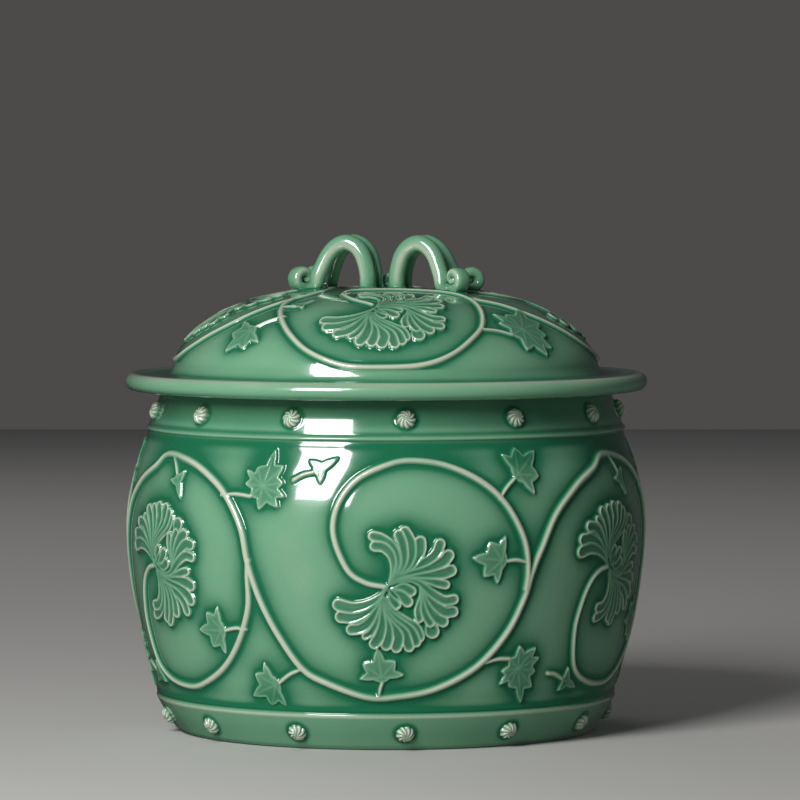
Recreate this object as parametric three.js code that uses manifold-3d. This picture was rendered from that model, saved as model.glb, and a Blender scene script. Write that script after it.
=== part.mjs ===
// Lidded drum jar in celadon porcelain, with a domed lid that lifts off by two double-strand arch handles.
// Units are millimetres. Z is up, the jar stands on z = 0 and its axis is the Z axis.
// The front of the jar, where the middle scroll of its decoration lies, faces -Y.
import * as THREE from "three";
import { mergeVertices } from "three/addons/utils/BufferGeometryUtils.js";
import Module from "manifold-3d";

const wasm = await Module();
wasm.setup();

// Jar, outside
const jarHeight = 181.9;          // foot to rim
const bellyRadius = 138.4;        // widest part of the wall
const bellyHeight = 108;          // height of the widest part
const lowerCurve = 1.65;          // how late the wall turns in below the belly
const upperCurve = 2.05;          // and above it
const footRadius = 111.8;         // foot band where it would meet the ground
const footEdgeRound = 2;          // rounded lower edge of the foot band
const footBandHeight = 19;
const footBandLean = 11.6;        // how much wider the foot band is at its top
const neckBandHeight = 20;
const neckBandLean = 7.5;         // how much narrower the neck band is at the rim
const bandStep = 0.9;             // how far both bands stand proud of the wall

// Jar, inside and below
const mouthRadius = 112;
const rimWidth = 8.5;             // flat land that the lid sits on
const mouthDepth = 12;            // straight part of the mouth
const wallThickness = 6;
const floorThickness = 8;
const hollowRound = 9;            // rounding where the wall meets the floor inside
const footRecess = 4;             // hollow under the floor, inside the foot ring
const footRingWidth = 12;

// Lid
const flangeOverhang = 19.5;      // how far the flange reaches past the rim
const flangeThickness = 9.1;
const flangeDish = 0.8;           // shallow trough in the top of the flange
const domeOverlap = 1.6;          // how much wider the dome is than the mouth
const domeStep = 5;               // steep start of the dome above the flange
const domeRise = 40.2;            // from that step to the top of the dome
const domeShoulder = 3.2;         // how flat the dome is on top
const domeFall = 2 / 3;           // how straight its sides fall
const lidWall = 6;
const locatingRingDepth = 12;
const locatingRingWidth = 5;
const locatingClearance = 2;      // loose fit of the ring in the mouth
const fitGap = 0.3;               // between pieces that touch

// Handles, measured from the middle of the lid along the line of the two arches
const handleTurn = THREE.MathUtils.degToRad(-23.5);
const strandDiameter = 9;
const archInner = 8.5;            // middle line of an arch where it rises near the lid's centre
const archOuter = 36;             // and where it comes down
const archHeight = 24;            // middle line above the top of the dome
const strandSplay = 4.9;          // how far the two strands of a pair part at the outer foot
const voluteRadius = 6.7;
const voluteWidth = 8.6;
const voluteBite = 1.8;           // overlap of the rolled end with its strand
const voluteSink = 0.8;           // how deep the rolled end is pressed onto the dome
const wideRollTurn = THREE.MathUtils.degToRad(52);    // left front and right back rolls turn this far aside
const narrowRollTurn = THREE.MathUtils.degToRad(28);  // and the other two this far
const curlRadius = 4.2;
const curlWidth = 7;
const curlLeft = 3;               // the small curl stands left of the centre
const curlClearance = 1.2;        // and behind the inner feet

// Studs
const studsPerRing = 13;
const studDiameter = 10.5;
const studHeight = 3.8;
const firstStud = THREE.MathUtils.degToRad(5);  // right of the front

// Facets
const turnSegments = 56;
const wallSteps = 9;
const hollowSteps = 6;
const domeSteps = 7;
const domeHollowSteps = 5;
const edgeSteps = 4;
const studSegments = 10;
const strandArc = 5;              // facets in half a strand's round
const strandSteps = 24;
const drumSegments = 14;
const mergeDistance = 1e-4;

// Sizes that follow from the ones above
const footTopRadius = footRadius + footBandLean;
const rimRadius = mouthRadius + rimWidth;
const beadRadius = rimRadius + neckBandLean;
const beadHeight = jarHeight - neckBandHeight;
const shoulderRadius = beadRadius - bandStep;
const shoulderHeight = beadHeight - bandStep;
const flangeRadius = rimRadius + flangeOverhang;
const domeRadius = mouthRadius + domeOverlap;
const lidHeight = jarHeight + fitGap;
const pairOffset = (strandDiameter + fitGap) / 2;

const glaze = { color: 0x6ba585, roughness: 0.12, metalness: 0 };
const paleGlaze = { color: 0x9fc4ac, roughness: 0.15, metalness: 0 };

function piece(name, geometry, finish) {
  const mesh = new THREE.Mesh(geometry, new THREE.MeshStandardMaterial(finish));
  mesh.name = name;
  return mesh;
}

// A solid of revolution about Z from [radius, height] pairs
function turned(points, segments) {
  const profile = points.map(([radius, height]) => new THREE.Vector2(radius, height));
  return new THREE.LatheGeometry(profile, segments).rotateX(Math.PI / 2);
}

function steps(count) {
  return Array.from({ length: count + 1 }, (_, index) => index / count);
}

// Radius of the jar's wall at a height between the foot band and the neck band
function wallRadius(height) {
  const below = height < bellyHeight;
  const endHeight = below ? footBandHeight : shoulderHeight;
  const endRadius = below ? footTopRadius - bandStep : shoulderRadius;
  const share = (height - bellyHeight) / (endHeight - bellyHeight);
  return bellyRadius + (endRadius - bellyRadius) * share ** (below ? lowerCurve : upperCurve);
}

function wallPoints(from, to, inset, count) {
  return steps(count).map((share) => {
    const height = THREE.MathUtils.lerp(from, to, share);
    return [wallRadius(height) - inset, height];
  });
}

// The jar: foot ring, leaning foot band, belly, neck band with its bead, flat rim, and the hollow inside
function jarBody() {
  const footSlope = footBandLean / footBandHeight;
  const foot = [
    [0, footRecess],
    [footRadius - footRingWidth - footRecess / 2, footRecess],
    [footRadius - footRingWidth, 0],
    [footRadius - footEdgeRound, 0],
    [footRadius - footEdgeRound / 4, footEdgeRound / 4],
    [footRadius + footEdgeRound * footSlope, footEdgeRound],
    [footTopRadius, footBandHeight - bandStep / 2],
    [footTopRadius - bandStep, footBandHeight + bandStep / 2],
  ];
  const wall = wallPoints(footBandHeight + 2 * bandStep, shoulderHeight, 0, wallSteps);
  const neck = [
    [beadRadius, beadHeight],
    [rimRadius, jarHeight],
    [mouthRadius, jarHeight],
    [mouthRadius, jarHeight - mouthDepth],
  ];
  const floorTop = footRecess + floorThickness;
  const hollowTop = shoulderHeight - bandStep;
  const hollowBottom = footBandHeight + hollowRound;
  const hollow = wallPoints(hollowTop, hollowBottom, wallThickness, hollowSteps);
  const hollowFootRadius = wallRadius(hollowBottom) - wallThickness;
  const floor = [
    [hollowFootRadius - hollowRound / 2, floorTop + hollowRound / 4],
    [hollowFootRadius - hollowRound * 1.5, floorTop],
    [0, floorTop],
  ];
  return turned([...foot, ...wall, ...neck, ...hollow, ...floor], turnSegments);
}

// Height of the dome's outside above the underside of the flange
function domeHeight(radius) {
  const fall = (1 - (radius / domeRadius) ** domeShoulder) ** domeFall;
  return flangeThickness + domeStep + domeRise * fall;
}

function domePoints(outerRadius, drop, count) {
  return steps(count).map((share) => {
    const radius = outerRadius * Math.sin(share * Math.PI / 2);
    return [radius, domeHeight(Math.min(radius * domeRadius / outerRadius, domeRadius)) - drop];
  });
}

// The lid: dome, dished flange with a full round edge, and the ring below it that locates in the mouth
function lidShell() {
  const ringOuter = mouthRadius - locatingClearance;
  const ringInner = ringOuter - locatingRingWidth;
  const edge = flangeThickness / 2;
  const roundEdge = steps(edgeSteps).map((share) => {
    const angle = Math.PI * (0.5 - share);
    return [flangeRadius - edge + edge * Math.cos(angle), edge + edge * Math.sin(angle)];
  });
  const flangeTop = [
    [domeRadius + 1, flangeThickness + 1],
    [domeRadius + domeStep, flangeThickness - flangeDish],
    [(domeRadius + flangeRadius) / 2, flangeThickness - flangeDish],
  ];
  const ring = [
    [ringOuter, 0],
    [ringOuter, 1 - locatingRingDepth],
    [ringOuter - 1, -locatingRingDepth],
    [ringInner + 1, -locatingRingDepth],
    [ringInner, 1 - locatingRingDepth],
  ];
  const outside = [...domePoints(domeRadius, 0, domeSteps), ...flangeTop, ...roundEdge, ...ring];
  const inside = domePoints(ringInner, lidWall, domeHollowSteps).reverse();
  return turned([...outside, ...inside].reverse(), turnSegments);
}

function toSolid(geometry) {
  const bare = geometry.clone();
  bare.deleteAttribute("normal");
  bare.deleteAttribute("uv");
  const merged = mergeVertices(bare, mergeDistance);
  const vertProperties = merged.attributes.position.array;
  const triVerts = Uint32Array.from(merged.index.array);
  return new wasm.Manifold(new wasm.Mesh({ numProp: 3, vertProperties, triVerts }));
}

function toGeometry(solid) {
  const mesh = solid.getMesh();
  const geometry = new THREE.BufferGeometry();
  geometry.setAttribute("position", new THREE.BufferAttribute(mesh.vertProperties, 3));
  geometry.setIndex(new THREE.BufferAttribute(mesh.triVerts, 1));
  geometry.computeVertexNormals();
  return geometry;
}

// What the handle pieces are trimmed to, so that their feet follow the dome
function domeTrim() {
  const reach = domePoints(domeRadius, -fitGap, domeSteps);
  return toSolid(turned([[0, 0], [domeRadius, 0], ...reach.reverse()], turnSegments));
}

// A rolled end: a short round drum lying askew to the arch, with a shallow eye in both faces
function rolledEnd(radius, width) {
  const half = width / 2;
  const round = radius / 5;
  const face = [[0, half - round], [radius * 0.3, half - round], [radius * 0.45, half], [radius - round, half]];
  const lower = face.map(([across, along]) => [across, -along]);
  const profile = [...lower, [radius, round - half], [radius, half - round], ...face.reverse()];
  return new THREE.LatheGeometry(profile.map(([x, y]) => new THREE.Vector2(x, y)), drumSegments);
}

// Middle line of one strand: up at the inner foot, over the arch, down and out under its rolled end.
// Each stop is how far along the arch, how high and how far splayed, as shares of the arch.
function strandLine(sideX, sideY, voluteX, voluteY) {
  const stops = [[0, -0.2, 0], [0.015, 0.37, 0], [0.115, 0.73, 0.02], [0.47, 1, 0.05],
    [0.8, 0.72, 0.3], [0.92, 0.36, 0.65], [1.01, 0.04, 1]];
  const points = stops.map(([along, up, apart]) => new THREE.Vector3(
    sideX * THREE.MathUtils.lerp(archInner, archOuter, along),
    sideY * (pairOffset + strandSplay * apart),
    domeHeight(0) + archHeight * up));
  const under = domeHeight(Math.hypot(voluteX, voluteY)) - voluteSink;
  points.push(new THREE.Vector3(sideX * voluteX, sideY * voluteY, under));
  return new THREE.CatmullRomCurve3(points, false, "centripetal");
}

function strand(name, sideX, sideY, trim) {
  const voluteX = archOuter + strandDiameter / 2 + voluteRadius - voluteBite;
  const voluteY = pairOffset + strandSplay;
  const section = new THREE.Shape().absarc(0, 0, strandDiameter / 2, 0, Math.PI * 2);
  const extrudePath = strandLine(sideX, sideY, voluteX, voluteY);
  const settings = { steps: strandSteps, curveSegments: strandArc, extrudePath };
  const tube = toSolid(new THREE.ExtrudeGeometry(section, settings));
  const drum = rolledEnd(voluteRadius, voluteWidth);
  const drumHeight = domeHeight(Math.hypot(voluteX, voluteY)) + voluteRadius - voluteSink;
  drum.rotateZ(sideX * sideY > 0 ? wideRollTurn : -narrowRollTurn);
  drum.translate(sideX * voluteX, sideY * voluteY, drumHeight);
  return piece(name, toGeometry(tube.add(toSolid(drum)).subtract(trim)), glaze);
}

function centreCurl(trim) {
  const curlY = pairOffset + strandDiameter / 2 + curlClearance + curlWidth / 2;
  const drum = rolledEnd(curlRadius, curlWidth);
  drum.translate(-curlLeft, curlY, domeHeight(curlY) + curlRadius - voluteSink);
  return piece("handle_centre_curl", toGeometry(toSolid(drum).subtract(trim)), glaze);
}

function handles() {
  const trim = domeTrim();
  const group = new THREE.Group();
  group.rotation.z = handleTurn;
  group.add(strand("handle_left_front", -1, -1, trim));
  group.add(strand("handle_left_back", -1, 1, trim));
  group.add(strand("handle_right_front", 1, -1, trim));
  group.add(strand("handle_right_back", 1, 1, trim));
  group.add(centreCurl(trim));
  return group;
}

function stud(name) {
  const radius = studDiameter / 2;
  const dome = steps(3).map((share) => {
    const angle = share * Math.PI / 2;
    return [radius * Math.cos(angle), studHeight * Math.sin(angle)];
  });
  dome[dome.length - 1][0] = 0;
  return piece(name, turned([[0, 0], ...dome], studSegments), paleGlaze);
}

// Studs set square on a leaning band, evenly round the jar
function studRing(name, radius, height, lean) {
  const ring = new THREE.Group();
  for (let index = 0; index < studsPerRing; index += 1) {
    const spoke = new THREE.Group();
    spoke.rotation.z = firstStud + index * 2 * Math.PI / studsPerRing - Math.PI / 2;
    const button = stud(`${name}_${String(index + 1).padStart(2, "0")}`);
    button.rotation.y = Math.PI / 2 - lean;
    button.position.set(radius + fitGap * Math.cos(lean), 0, height + fitGap * Math.sin(lean));
    spoke.add(button);
    ring.add(spoke);
  }
  return ring;
}

function studs() {
  const group = new THREE.Group();
  const neckLean = Math.atan2(neckBandLean, neckBandHeight);
  const footLean = -Math.atan2(footBandLean, footBandHeight);
  const neckHeight = jarHeight - neckBandHeight / 2;
  group.add(studRing("neck_stud", rimRadius + neckBandLean / 2, neckHeight, neckLean));
  group.add(studRing("foot_stud", footRadius + footBandLean / 2, footBandHeight / 2, footLean));
  return group;
}

function lid() {
  const group = new THREE.Group();
  group.position.z = lidHeight;
  group.add(piece("lid", lidShell(), glaze));
  group.add(handles());
  return group;
}

const jar = new THREE.Group();
jar.add(piece("jar_body", jarBody(), glaze));
jar.add(studs());
jar.add(lid());

export default jar;
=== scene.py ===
import math

import bpy
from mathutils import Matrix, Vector
import numpy as np


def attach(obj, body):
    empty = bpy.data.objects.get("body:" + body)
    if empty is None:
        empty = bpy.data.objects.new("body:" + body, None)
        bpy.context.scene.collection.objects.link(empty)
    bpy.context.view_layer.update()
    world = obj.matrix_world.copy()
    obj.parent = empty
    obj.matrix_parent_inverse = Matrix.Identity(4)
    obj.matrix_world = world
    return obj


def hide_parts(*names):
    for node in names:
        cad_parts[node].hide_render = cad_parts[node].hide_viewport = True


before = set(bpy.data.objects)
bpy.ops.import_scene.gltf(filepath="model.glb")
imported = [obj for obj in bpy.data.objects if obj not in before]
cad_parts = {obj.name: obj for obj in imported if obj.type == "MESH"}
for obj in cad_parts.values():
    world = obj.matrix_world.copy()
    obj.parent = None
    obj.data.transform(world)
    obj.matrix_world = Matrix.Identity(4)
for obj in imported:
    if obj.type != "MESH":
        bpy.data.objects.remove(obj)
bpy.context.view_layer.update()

mm = 0.001
coarser = 1


# Raised work is first drawn on a flat sheet, in mm: x to the right, y up, height out of the sheet.

def newSheet(left, right, bottom, top, cell):
    x = np.arange(left, right, cell)
    y = np.arange(bottom, top, cell)
    blank = np.zeros((len(y), len(x)))
    return {"x": x, "y": y, "cell": cell, "height": blank, "bareness": blank.copy()}


def smoothStep(low, high, value):
    share = np.clip((value - low) / (high - low), 0, 1)
    return share * share * (3 - 2 * share)


# Curve through a few points, sampled evenly
def smoothLine(points, spacing=1.0):
    points = np.array(points, float)
    padded = np.vstack([2 * points[0] - points[1], points, 2 * points[-1] - points[-2]])
    pieces = []
    for i in range(len(points) - 1):
        a, b, c, d = padded[i:i + 4]
        count = max(3, int(np.linalg.norm(c - b) / spacing) + 1)
        t = np.linspace(0, 1, count, endpoint=False)[:, None]
        pieces.append(0.5 * (2 * b + (c - a) * t + (2 * a - 5 * b + 4 * c - d) * t ** 2
                             + (3 * b - a - 3 * c + d) * t ** 3))
    return np.vstack(pieces + [points[-1:]])


# The part of the sheet within reach of a line
def windowRound(sheet, line, reach):
    low, high = line.min(0) - reach, line.max(0) + reach
    columns = slice(*np.searchsorted(sheet["x"], [low[0], high[0]]))
    rows = slice(*np.searchsorted(sheet["y"], [low[1], high[1]]))
    if columns.start == columns.stop or rows.start == rows.stop:
        return None
    x, y = np.meshgrid(sheet["x"][columns], sheet["y"][rows])
    return (rows, columns), x, y


# Distance to a line, and how far along it the nearest point is, from 0 to 1
def nearestOn(line, x, y):
    closest = np.full(x.shape, 1e9)
    along = np.zeros(x.shape)
    lengths = np.linalg.norm(np.diff(line, axis=0), axis=1)
    before = 0
    for start, end, length in zip(line[:-1], line[1:], lengths):
        step = end - start
        share = ((x - start[0]) * step[0] + (y - start[1]) * step[1]) / (length ** 2 + 1e-12)
        share = np.clip(share, 0, 1)
        away = np.hypot(x - start[0] - share * step[0], y - start[1] - share * step[1])
        closer = away < closest
        closest[closer] = away[closer]
        along[closer] = (before + share * length)[closer]
        before += length
    return closest, along / before


# A round raised thread; it may thin out towards its end
def drawThread(sheet, line, halfWidth, height, endShare=1.0, chunk=14):
    total = len(line) - 1
    for first in range(0, total, chunk):
        part = line[first:first + chunk + 1]
        if len(part) < 2:
            continue
        found = windowRound(sheet, part, halfWidth * 3)
        if not found:
            continue
        cells, x, y = found
        away, along = nearestOn(part, x, y)
        share = (first + along * (len(part) - 1)) / total
        size = 1 + (endShare - 1) * share
        profile = np.exp(-(away / (halfWidth * size)) ** 2.6)
        sheet["height"][cells] = np.maximum(sheet["height"][cells], height * size * profile)
        bare = np.clip(profile * 1.5 - 0.35, 0, 1)
        sheet["bareness"][cells] = np.maximum(sheet["bareness"][cells], bare)


petalShape = {
    "lift": 1.0,          # how high a petal stands, mm
    "rim": 0.6,           # its raised edge above that
    "rimIn": 0.55,        # the edge's crest, in from the outline
    "rimWidth": 0.48,
    "bowl": 0.35,         # how far it is hollowed inside
    "vein": 0.14,
    "veinWidth": 0.4,
    "fuller": 1.36,       # how much wider than its drawn half width
    "rootShare": 0.2,     # width at the root, as a share of the width at the tip
}


# A long petal with a round tip, laid over what is already drawn
def drawPetal(sheet, points, tipHalf, size=1.0, p=petalShape):
    line = smoothLine(points, 1.2)
    found = windowRound(sheet, line, tipHalf + 1)
    if not found:
        return
    cells, x, y = found
    away, along = nearestOn(line, x, y)
    fullness = p["rootShare"] + (1 - p["rootShare"]) * np.sin(along * math.pi / 2) ** 1.15
    half = tipHalf * p["fuller"] * fullness
    inside = half - away
    cover = smoothStep(-0.25, 0.3, inside)
    rim = p["rim"] * (0.55 + 0.45 * along) * np.exp(-((inside - p["rimIn"]) / p["rimWidth"]) ** 2)
    bowl = p["bowl"] * smoothStep(0.4, 1.8, inside)
    vein = p["vein"] * np.exp(-(away / p["veinWidth"]) ** 2) * smoothStep(0.9, 1.5, half)
    vein = vein * (1 - smoothStep(0.72, 0.88, along))
    petal = (p["lift"] * (0.8 + 0.2 * along) + rim - bowl + vein) * size
    sheet["height"][cells] = sheet["height"][cells] * (1 - cover) + petal * cover
    bare = (rim / p["rim"]) * (0.55 + 0.4 * along) * smoothStep(0.04, 0.2, along)
    sheet["bareness"][cells] = sheet["bareness"][cells] * (1 - cover) + bare * cover


# Fans of petals, each from its root to its tip in mm from the flower's root, with half its width at the tip.
# Later petals lie over earlier ones.
flowerPetals = [
    # upper right fan
    ([(2.0, 1.5), (7.0, 4.4), (13.9, 5.4), (21.2, 3.9), (26.1, 2.0), (30.0, 1.2)], 1.9),
    ([(2.0, 1.8), (6.6, 5.0), (12.9, 6.6), (23.7, 6.8), (29.6, 7.3), (32.6, 8.5)], 2.4),
    ([(1.6, 1.8), (6.4, 5.6), (13.9, 8.2), (23.7, 11.0), (29.0, 13.6), (31.2, 16.3)], 2.4),
    ([(1.2, 1.8), (5.6, 6.4), (11.5, 9.6), (20.2, 13.5), (25.0, 17.6), (26.9, 22.2)], 2.2),
    # upper fan, the last ones hooking left
    ([(5.0, 5.6), (11.7, 10.0), (15.6, 15.7), (17.1, 19.5), (17.0, 23.6)], 2.3),
    ([(4.6, 5.6), (10.2, 10.0), (12.7, 15.5), (12.4, 21.5), (11.2, 25.5), (9.2, 28.6)], 2.3),
    ([(4.0, 5.0), (8.0, 10.0), (9.2, 15.6), (8.2, 22.4), (6.3, 27.2)], 2.1),
    ([(2.9, 4.4), (5.6, 10.0), (5.8, 15.6), (2.6, 21.8), (-2.6, 25.4), (-6.5, 26.4)], 2.1),
    ([(0.9, 2.4), (2.9, 7.4), (3.4, 12.7), (2.0, 17.4), (-1.7, 20.8), (-5.6, 21.3)], 2.2),
    # a petal behind, low on the right
    ([(20.7, -18.0), (22.2, -20.5), (23.9, -23.0)], 2.9),
    # right fan, drooping
    ([(16.8, 0.4), (17.3, -5.4), (16.1, -11.7), (16.9, -16.4)], 1.7),
    ([(17.0, 0.8), (18.5, -4.9), (19.3, -11.7), (21.0, -16.2), (22.6, -18.6)], 1.8),
    ([(17.0, 1.4), (19.3, -3.9), (22.7, -11.2), (26.4, -16.2), (29.4, -18.0)], 2.3),
    ([(16.6, 2.0), (20.0, -3.0), (24.6, -8.8), (30.1, -12.9), (34.3, -12.9)], 2.3),
    ([(2.4, 1.2), (6.6, 3.2), (11.5, 3.9), (16.8, 2.0), (23.3, -3.2), (29.6, -6.9), (34.5, -6.5)], 2.1),
    # lower fan, sweeping down to the right
    ([(0.4, -5.0), (2.2, -10.4), (9.5, -17.1), (15.2, -21.3), (17.1, -25.8)], 2.3),
    ([(0.0, -5.0), (1.0, -11.2), (6.8, -17.4), (12.8, -22.6), (15.5, -28.4)], 2.2),
    ([(-0.6, -5.0), (-0.3, -11.6), (4.0, -18.2), (9.4, -23.6), (11.9, -30.9)], 2.2),
    ([(-1.2, -5.0), (-1.5, -12.7), (2.4, -19.5), (6.4, -25.4), (5.3, -31.2)], 2.3),
    # left fan, the last one curving up at its tip
    ([(-1.4, -5.0), (-1.4, -13.6), (1.0, -21.1), (1.0, -27.0), (-0.1, -30.2)], 2.2),
    ([(-1.8, -5.0), (-2.4, -12.2), (-2.0, -19.5), (-3.6, -25.6), (-6.2, -29.2)], 2.3),
    ([(-2.2, -5.0), (-3.4, -11.2), (-5.1, -18.5), (-8.0, -23.4), (-10.9, -25.4)], 1.6),
    ([(-2.2, -4.4), (-4.1, -9.5), (-8.2, -17.1), (-13.4, -21.3), (-18.0, -22.0)], 2.3),
    ([(-1.0, -2.4), (-4.1, -6.9), (-9.7, -12.4), (-16.8, -15.6), (-23.3, -15.4)], 2.5),
    ([(1.0, 0.8), (-3.9, -5.0), (-10.1, -9.0), (-17.4, -10.6), (-24.3, -9.2)], 2.6),
    # small bud in the middle
    ([(2.4, -0.5), (8.6, 0.2), (12.6, -2.0)], 2.1),
    ([(2.2, -1.0), (7.4, -3.7), (10.8, -7.4)], 2.3),
    ([(1.0, -1.5), (2.7, -5.9), (5.2, -9.1)], 1.9),
]


def drawFlower(sheet, x, y, flip=1, turn=0.0, size=1.0):
    cosine, sine = math.cos(turn), math.sin(turn)
    for points, tipHalf in flowerPetals:
        placed = [(x + size * (px * cosine - flip * py * sine),
                   y + size * (px * sine + flip * py * cosine)) for px, py in points]
        drawPetal(sheet, placed, tipHalf * size)


# Leaves: tips as [angle, length] from the leaf's node, the stem arriving at the last one, and how deep the
# outline cuts in between two tips
leafShapes = {
    "maple": {"tips": [[157, 10.6], [125, 13.5], [96, 10.6], [57, 19.9], [25, 15.4], [-8, 12.0], [-39, 14.2],
                       [-65, 14.6], [-113, 12.2], [-159, 8.5]], "notch": 0.74},
    "ivy": {"tips": [[88, 10.4], [48, 10.8], [2, 13.8], [-46, 10.0], [-90, 10.6], [180, 2.4]], "notch": 0.74},
    "dart": {"tips": [[104, 6.6], [2, 12.4], [-98, 6.8], [180, 2.0]], "notch": 0.7},
}
leafRelief = {"plate": 0.75, "rim": 0.45, "rimWidth": 0.42, "vein": 0.26, "veinWidth": 0.42, "stem": 1.05,
              "bulge": 0.06}


def drawLeaf(sheet, kind, x, y, turn, size=1.0, flip=1, stemFrom=None, p=leafRelief):
    shape = leafShapes[kind]
    turn = math.radians(turn)

    def place(angle, length):
        local = math.radians(angle) * flip + turn
        return np.array([x + size * length * math.cos(local), y + size * length * math.sin(local)])

    tips = [place(*tip) for tip in shape["tips"]]
    if stemFrom is not None:
        stem = smoothLine([stemFrom, (tips[-1] + np.array(stemFrom)) / 2 + [0, 0.8], tips[-1]], 1.0)
        drawThread(sheet, stem, p["stem"], 1.35)
    outline = []
    node = np.array([x, y])
    share = np.linspace(0, 1, 5, endpoint=False)[:, None]
    for here, there in zip(tips, tips[1:] + tips[:1]):
        inner = node + (0.5 * (here + there) - node) * shape["notch"]
        for start, end, facing in ((here, inner, there - here), (inner, there, here - there)):
            side = np.array([start[1] - end[1], end[0] - start[0]])
            side = side * np.sign(side @ facing) * p["bulge"]
            outline.append(start + (end - start) * share + side * np.sin(math.pi * share))
    outline = np.vstack(outline)
    found = windowRound(sheet, outline, 2)
    if not found:
        return
    cells, gx, gy = found
    closed = np.vstack([outline, outline[:1]])
    away, _ = nearestOn(closed, gx, gy)
    within = np.zeros(gx.shape, bool)
    for (ax, ay), (bx, by) in zip(closed[:-1], closed[1:]):
        crosses = (ay > gy) != (by > gy)
        within ^= crosses & (gx < (bx - ax) * (gy - ay) / (by - ay + 1e-12) + ax)
    inside = np.where(within, away, -away)
    cover = smoothStep(-0.45, 0.35, inside)
    rim = np.exp(-((inside - 0.35) / p["rimWidth"]) ** 2)
    raised = p["plate"] + p["rim"] * rim
    bare = 0.6 * rim
    for tip in tips:
        vein, share = nearestOn(np.array([node, node + (tip - node) * 0.9]), gx, gy)
        ridge = (1 - 0.5 * share) * np.exp(-(vein / p["veinWidth"]) ** 2)
        raised = np.maximum(raised, p["plate"] + p["vein"] * ridge)
        bare = np.maximum(bare, 0.3 * ridge)
    sheet["height"][cells] = np.maximum(sheet["height"][cells], raised * cover)
    sheet["bareness"][cells] = np.where(within, bare * cover, sheet["bareness"][cells])


def blurred(field, sigma):
    rows = np.fft.fftfreq(field.shape[0])[:, None]
    columns = np.fft.rfftfreq(field.shape[1])[None, :]
    fall = np.exp(-2 * (math.pi * sigma) ** 2 * (rows ** 2 + columns ** 2))
    return np.fft.irfft2(np.fft.rfft2(field) * fall, field.shape)


glazeFlow = {
    "soften": 0.28,       # mm, how far the glaze rounds the relief
    "dip": 0.4,           # mm, how far the ground is cut down beside the relief
    "dipReach": 2.6,
    "crest": 0.26,        # how strongly the glaze thins on a crest
    "crestReach": 1.5,
    "pool": 0.78,         # and pools beside one
    "poolReach": 3.8,
    "slackReach": 7.5,    # the wide soft edge of a pool
    "shift": 2.4,         # mm, how far that edge is moved up the sheet
    "plain": 0.26,        # thickness on open ground: 0 is bare, 1 is a deep pool
    "leaf": 0.36,         # thickness within a leaf or petal
    "vine": 0.42,         # how much thinner it lies along a vine, a petal's edge or a leaf's vein
}


# Lets the glaze flow over the drawn relief: rounds it, sinks the ground beside it, and works out how thick it
# lies
def flowGlaze(sheet, p=glazeFlow):
    cell = sheet["cell"]
    height = blurred(sheet["height"], p["soften"] / cell)
    motif = smoothStep(0.15, 0.7, height)
    near = blurred(motif, p["dipReach"] / cell)
    height = height - p["dip"] * np.clip(near * 1.6, 0, 1) * (1 - motif)
    crest = height - blurred(height, p["crestReach"] / cell)
    wide = blurred(motif, p["poolReach"] / cell)
    wider = blurred(motif, p["slackReach"] / cell)
    wider = np.roll(wider, int(p["shift"] / cell), 0)
    halo = (1 - np.exp(-1.5 * wide - 2.5 * wider)) * (1 - motif)
    inside = motif * p["leaf"]
    thickness = p["plain"] + p["pool"] * halo + inside - p["crest"] * crest / 0.35
    thickness = thickness - p["vine"] * sheet["bareness"]
    sheet["height"] = height
    sheet["thickness"] = np.clip(blurred(thickness, 0.2 / cell), -0.1, 1.05)


def readSheet(sheet, field, x, y):
    cell = sheet["cell"]
    column = np.clip((x - sheet["x"][0]) / cell, 0, len(sheet["x"]) - 1.001)
    row = np.clip((y - sheet["y"][0]) / cell, 0, len(sheet["y"]) - 1.001)
    c, r = column.astype(int), row.astype(int)
    u, v = column - c, row - r
    grid = sheet[field]
    return ((grid[r, c] * (1 - u) + grid[r, c + 1] * u) * (1 - v)
            + (grid[r + 1, c] * (1 - u) + grid[r + 1, c + 1] * u) * v)


# Mesh work

def evenTurns(count):
    return np.arange(count) * 2 * math.pi / count


def makeMesh(name, points, faces):
    # faces: list of index arrays, one row to a face
    mesh = bpy.data.meshes.new(name)
    mesh.vertices.add(len(points))
    mesh.vertices.foreach_set("co", (np.asarray(points) * mm).astype(np.float32).ravel())
    corners = np.concatenate([f.ravel() for f in faces]).astype(np.int32)
    sides = np.concatenate([np.full(len(f), f.shape[1]) for f in faces])
    mesh.loops.add(len(corners))
    mesh.loops.foreach_set("vertex_index", corners)
    mesh.polygons.add(len(sides))
    mesh.polygons.foreach_set("loop_start", (np.cumsum(sides) - sides).astype(np.int32))
    mesh.update(calc_edges=True)
    mesh.shade_smooth()
    piece = bpy.data.objects.new(name, mesh)
    bpy.context.scene.collection.objects.link(piece)
    return piece


# glaze thickness at each point; on the neck band it also carries painted shade, and on the handle strands a
# painted highlight
def setThickness(piece, values):
    layer = piece.data.attributes.new("glazeThicknessAndPaintedLight", "FLOAT", "POINT")
    layer.data.foreach_set("value", np.asarray(values, np.float32).ravel())


# Faces of a grid of rows, closed round its columns, and capped at either end where a middle point is given
def ringFaces(rows, columns, firstCap=None, lastCap=None):
    grid = np.arange(rows * columns).reshape(rows, columns)
    beside = np.roll(grid, -1, axis=1)
    faces = [np.stack([grid[:-1], beside[:-1], beside[1:], grid[1:]], -1).reshape(-1, 4)]
    if firstCap is not None:
        faces.append(np.stack([np.full(columns, firstCap), beside[0], grid[0]], -1))
    if lastCap is not None:
        faces.append(np.stack([np.full(columns, lastCap), grid[-1], beside[-1]], -1))
    return faces


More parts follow.
